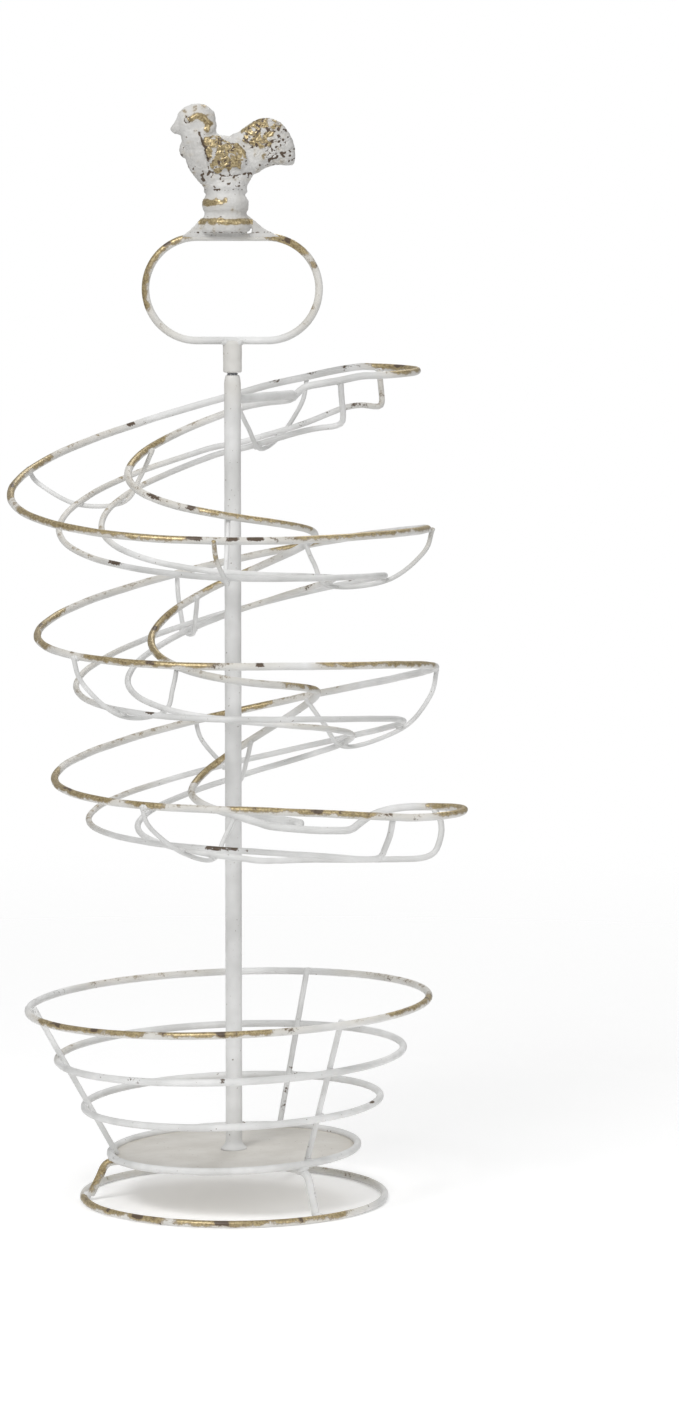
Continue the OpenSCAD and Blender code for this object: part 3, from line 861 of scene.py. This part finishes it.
# Lines of the relief: round the eye, down the neck and under the wing
CRESCENT = [(-17.4, 47.9), (-14.6, 49.4), (-11.6, 48.3), (-10.0, 46.1), (-10.6, 43.6)]
HACKLE = [(-13.8, 42.5), (-12.6, 39.5), (-10.6, 33.5), (-9.4, 28.5)]
UNDERSIDE = [(-9, 26), (-3, 24), (3, 24.5), (7, 25.5)]
EYE = (-18.8, 47.7)
WATTLE_SHADE = (-21.4, 32.8)
TAIL_ROOT = (1, 27)  # the tail's feathers fan out from here
BIRD_THICK = 15.5  # from the front of the body to its back
VOXEL = 0.34


def closed_curve(outline, count=6):
    """A smooth closed curve through an outline's points."""
    p = np.array(outline, float)
    f = (np.arange(count) / count)[:, None]
    a, c, d = np.roll(p, 1, 0), np.roll(p, -1, 0), np.roll(p, -2, 0)
    return np.vstack([through(a[i], p[i], c[i], d[i], f) for i in range(len(p))])


def dome(bm, outline, thick, middle=None, y=0.0, full=0.5):
    """A closed form with the outline's shape from the front, swelling towards its middle.

    full is the power of its section: 0.5 is round, and less is flatter with a rounder edge.
    """
    curve = closed_curve(outline)
    middle = np.array(middle if middle else curve.mean(0))
    rows, steps = [], 9
    for k in range(-steps + 1, steps):
        share = k / steps
        reach = (1 - share * share) ** full
        level = y + thick / 2 * share
        ring = middle + (curve - middle) * reach
        rows.append([bm.verts.new((x, level, z)) for x, z in ring])
    ends = [bm.verts.new((middle[0], y + s * thick / 2, middle[1])) for s in (-1, 1)]
    n = len(curve)
    for low, high in zip(rows, rows[1:]):
        for k in range(n):
            bm.faces.new((low[k], low[(k + 1) % n], high[(k + 1) % n], high[k]))
    for k in range(n):
        bm.faces.new((ends[0], rows[0][(k + 1) % n], rows[0][k]))
        bm.faces.new((ends[1], rows[-1][k], rows[-1][(k + 1) % n]))


def slab(bm, outline, thick):
    """A flat plate with the outline's shape from the front."""
    front = [bm.verts.new((x, -thick / 2, z)) for x, z in outline]
    back = [bm.verts.new((x, thick / 2, z)) for x, z in outline]
    n = len(outline)
    bm.faces.new(front)
    bm.faces.new(back[::-1])
    for k in range(n):
        bm.faces.new((front[k], back[k], back[(k + 1) % n], front[(k + 1) % n]))


def rooster_forms():
    """The forms that the casting is made of, in one bmesh: domes, a turned pedestal and two flat webs."""
    thick = (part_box("rooster")[1].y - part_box("rooster")[0].y) / MM
    bird = min(thick, BIRD_THICK)
    bm = bmesh.new()
    dome(bm, HEAD, 12.5, (-14.6, 46.8))
    dome(bm, NECK, 13, (-12.5, 39.5))
    dome(bm, BODY, bird, (-5, 31), full=0.42)
    dome(bm, TAIL, 11, (13, 37.5), full=0.36)
    dome(bm, BEAK, 5.4)
    dome(bm, WATTLE, 5)
    for side in (-1, 1):
        dome(bm, WING, 4.4, (-3, 33), y=side * (bird / 2 - 1.4), full=0.3)
    for x, z, r in COMB:
        ball = bmesh.ops.create_icosphere(bm, subdivisions=3, radius=r)["verts"]
        for vertex in ball:
            vertex.co = Vector((x + vertex.co.x, vertex.co.y * 1.5, z + vertex.co.z))
    turned, faces = lathe(PEDESTAL, 48, (PEDESTAL_X, 0))
    verts = [bm.verts.new(p) for p in turned]
    for face in faces:
        bm.faces.new([verts[i] for i in face])
    slab(bm, LEFT_WEB, 3.4)
    slab(bm, RIGHT_WEB, 3.4)
    bmesh.ops.recalc_face_normals(bm, faces=bm.faces[:])
    return bm


def rooster_body():
    """The casting before its relief: its forms grown together and softened, in millimetres."""
    rough = new_object("rooster_rough", mesh_of("rooster_rough", rooster_forms()))
    remesh = rough.modifiers.new("remesh", "REMESH")
    remesh.mode = "VOXEL"
    remesh.voxel_size = VOXEL
    soften = rough.modifiers.new("soften", "SMOOTH")
    soften.factor = 0.5
    soften.iterations = 8
    solid = bpy.data.meshes.new_from_object(rough.evaluated_get(bpy.context.evaluated_depsgraph_get()))
    bpy.data.objects.remove(rough)
    return solid


def inside(x, z, outline):
    """Whether points are inside an outline, as an array of 0 and 1."""
    curve = closed_curve(outline, 3)
    crossed = np.zeros(len(x), bool)
    for (x0, z0), (x1, z1) in zip(curve, np.roll(curve, -1, 0)):
        if z0 == z1:
            continue
        crossed ^= ((z0 > z) != (z1 > z)) & (x < x0 + (z - z0) * (x1 - x0) / (z1 - z0))
    return crossed.astype(float)


def feathers(u, v, long, wide):
    """Relief of overlapping rounded feathers that point along u: 1 on a feather's crown, 0 in the gaps."""
    row = np.floor(u / long)
    v = v + (row % 2) * wide / 2
    a = (u / long - row) - 0.15
    b = (v / wide - np.floor(v / wide)) - 0.5
    crown = 1 - np.clip((a * 1.1) ** 2 + (b * 1.9) ** 2, 0, 1)
    quill = np.exp(-(b / 0.07) ** 2) * 0.25
    return np.clip(crown - quill * (a > 0), 0, 1)


def spot(x, z, cx, cz, r):
    """A soft round spot, 1 at its middle and 0 beyond its radius."""
    return np.clip(1 - ((x - cx) ** 2 + (z - cz) ** 2) / r ** 2, 0, 1)


def band(value, level, wide):
    """A soft band, 1 where the value is at its level."""
    return np.exp(-((value - level) / wide) ** 2)


def groove(x, z, points, wide):
    """A soft line through the points, 1 along its middle."""
    best = np.full(len(x), 1e9)
    for (x0, z0), (x1, z1) in zip(points, points[1:]):
        along_x, along_z = x1 - x0, z1 - z0
        t = np.clip(((x - x0) * along_x + (z - z0) * along_z) / (along_x ** 2 + along_z ** 2), 0, 1)
        best = np.minimum(best, np.hypot(x - x0 - t * along_x, z - z0 - t * along_z))
    return band(best, 0, wide)


def field(x, z, scale, seed):
    """Two smooth random numbers for each point, from about -0.5 to 0.5."""
    drift = np.array([noise.noise_vector(Vector((a / scale, seed, b / scale))) for a, b in zip(x, z)])
    return drift[:, 0], drift[:, 2]


def plumage(x, z):
    """For the wing, the tail and the breast a mask and the relief of its feathers. Last, how far up the
    tail a point is."""
    drift_x, drift_z = field(x, z, 3.2, 1.0)
    x, z = x + 2.6 * drift_x, z + 2.6 * drift_z
    lean = math.radians(-32)
    u, v = x * math.cos(lean) + z * math.sin(lean), -x * math.sin(lean) + z * math.cos(lean)
    wing = (inside(x, z, WING), feathers(u, v, 3.4, 2.2))
    from_x, from_z = x - TAIL_ROOT[0], z - TAIL_ROOT[1]
    from_root, turned = np.hypot(from_x, from_z), np.arctan2(from_z, from_x)
    upper = np.clip((turned - math.radians(36)) * 8, 0, 1)
    long, short = feathers(from_root, turned * 18, 2.4, 1.9), feathers(from_root, turned * 18, 3.6, 1.3)
    on_tail = np.clip((from_root - 10) / 2, 0, 1) * (x > 4) * (z > 24)
    tail = (on_tail, upper * long + (1 - upper) * short)
    breast = ((1 - wing[0]) * (1 - tail[0]) * (z > 20) * (z < 38), feathers(-z, x, 2.6, 2.4))
    return wing, tail, breast, upper


def rooster_gold(x, z, side, patchy, plumes, crescent):
    """How gold each point is: patches on wing, upper tail, crescent and comb, and bands on the pedestal."""
    (on_wing, wing), (on_tail, tail), _, upper = plumes
    wing_gold = np.clip(wing * 0.9 + 0.5 + 1.3 * patchy - np.clip((29 - z + x) / 16, 0, 0.5), 0, 1)
    tail_gold = np.clip(0.2 + 0.3 * upper + tail * 0.5 + 1.3 * patchy, 0, 1)
    fade_right = np.clip((24 - x) / 7, 0, 1)
    curls = sum(spot(x, z, knob_x, knob_z, 2.4) for knob_x, knob_z, _ in COMB)
    gold = side * (
        on_wing * wing_gold + on_tail * tail_gold * fade_right * (0.3 + 0.7 * upper)
        + crescent * (1.1 + patchy)
    ) + 0.5 * np.clip(curls + 1.6 * patchy - 0.3, 0, 1)
    low_band = band(z, 5.0, 1.3) * (np.abs(x - PEDESTAL_X) < 11.5)
    high_band = band(z, 13.0, 1.3) * np.clip((-1 - x) / 4, 0, 1)
    return np.clip(gold + (1.15 + patchy) * (low_band + high_band), 0, 1)


def rooster_pits_and_shade(x, z, side, rough, plumes, creases):
    """How dark each point is: pits and a little random tone, and painted shade in the gaps between feathers,
    in the creases and the eye socket, under the wing, wattle and body, and round the pedestal's foot and
    moulding.
    """
    (on_wing, wing), (on_tail, tail), (on_breast, breast), _ = plumes
    hackle, under, socket = creases
    pits = np.clip((field(x, z, 1.3, 30.0)[1] - 0.2) * 5, 0, 1)
    # Painted shade in the gaps between feathers, in the neck crease, under the wing and in the eye socket
    dark = side * (
        on_wing * np.clip(0.3 - wing, 0, 1) * 1.5 + on_tail * np.clip(0.3 - tail, 0, 1) * 1.9
        + on_breast * np.clip(0.16 - breast, 0, 1) * 1.5
        + 0.8 * hackle * (z > 30) + 0.6 * under + 0.7 * socket
    )
    speckled = 0.9 * on_tail + 0.5 * on_breast * np.clip((34 - z) / 8, 0, 1) + 0.4 * on_wing + 0.2
    dark = dark + pits * np.clip(speckled, 0, 0.9)
    # Painted shade under the wattle, at the pedestal's foot, under its moulding and under the body
    dark += 0.75 * spot(x, z, *WATTLE_SHADE, 1.3) + 0.5 * band(z, 0.4, 0.5)
    dark += 0.35 * band(z, 7.0, 0.6) + 0.4 * band(z, 18.4, 0.8)
    return np.clip(dark + 0.25 * rough, 0, 1)


def rooster_relief(x, y, z):
    """Height of the relief in millimetres, how gold it is, and how dark it is with pits and painted shade,
    for points of the casting.
    """
    plumes = plumage(x, z)
    (on_wing, wing), (on_tail, tail), (on_breast, breast), _ = plumes
    hackle, under = groove(x, z, HACKLE, 0.7), groove(x, z, UNDERSIDE, 0.6)
    crescent, eye = groove(x, z, CRESCENT, 1.35), spot(x, z, *EYE, 1.0)
    socket = band(np.hypot(x - EYE[0], z - EYE[1]), 1.3, 0.4)
    side = np.clip(np.abs(y) / 2.5, 0, 1)  # the relief fades out along the casting's edge
    rough, patchy = field(x, z, 0.9, 7.0)[0], field(x, z, 2.6, 12.0)[0]
    height = side * (
        on_wing * (0.6 * wing + 0.25) + on_tail * 0.5 * tail + on_breast * 0.2 * breast
        - 0.5 * hackle * (1 - on_wing) - 0.35 * under + 0.75 * crescent + 0.4 * eye - 0.3 * socket
    ) + 0.14 * rough
    gold = rooster_gold(x, z, side, patchy, plumes, crescent)
    return height, gold, rooster_pits_and_shade(x, z, side, rough, plumes, (hackle, under, socket))


def make_rooster(material):
    """The cast rooster: its body with the relief pushed out along its skin, standing on the handle ring."""
    mesh = rooster_body()
    count = len(mesh.vertices)
    co, normal = np.zeros(count * 3), np.zeros(count * 3)
    mesh.vertices.foreach_get("co", co)
    mesh.vertices.foreach_get("normal", normal)
    co, normal = co.reshape(-1, 3), normal.reshape(-1, 3)
    height, gold, dark = rooster_relief(*co.T)
    rough = np.array([noise.noise(Vector(p) / 1.6) for p in co])
    co = co + normal * (height + 0.07 * rough)[:, None]
    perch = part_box("handle_ring")[1].z
    co = co * MM + np.array([0, 0, perch])
    mesh.vertices.foreach_set("co", co.ravel())
    mesh.materials.clear()
    made = smooth_object("rooster_casting", mesh, material)
    set_attribute(made, "gold", gold)
    # The chip attribute here holds the casting's pits and its painted shade
    set_attribute(made, "chip", dark)
    return join_in(made, "handle", ["rooster"])


# ---- The scene ----

make_camera()
make_light()
make_floor()

WHITE = painted("white_paint_worn", (0.84, 0.84, 0.835, 1), (0.64, 0.64, 0.63, 1))
PLATE = painted("plate_paint_worn", (0.70, 0.68, 0.64, 1), (0.60, 0.575, 0.53, 1))
# The rooster's paint: its chip attribute also holds painted shade in recesses and under overhangs
CAST = painted(
    "cast_paint_worn_painted_shade", (0.72, 0.715, 0.70, 1), (0.54, 0.53, 0.51, 1), gold_edge=0.45, chip_edge=0.5,
)

all_lines = make_wires(WHITE)
all_lines.update(make_rings(WHITE))
make_welds(all_lines, WHITE)
make_post(WHITE)
make_plate(PLATE)
make_stud(steel("zinc_thread"))
make_handle(WHITE)
make_rooster(CAST)
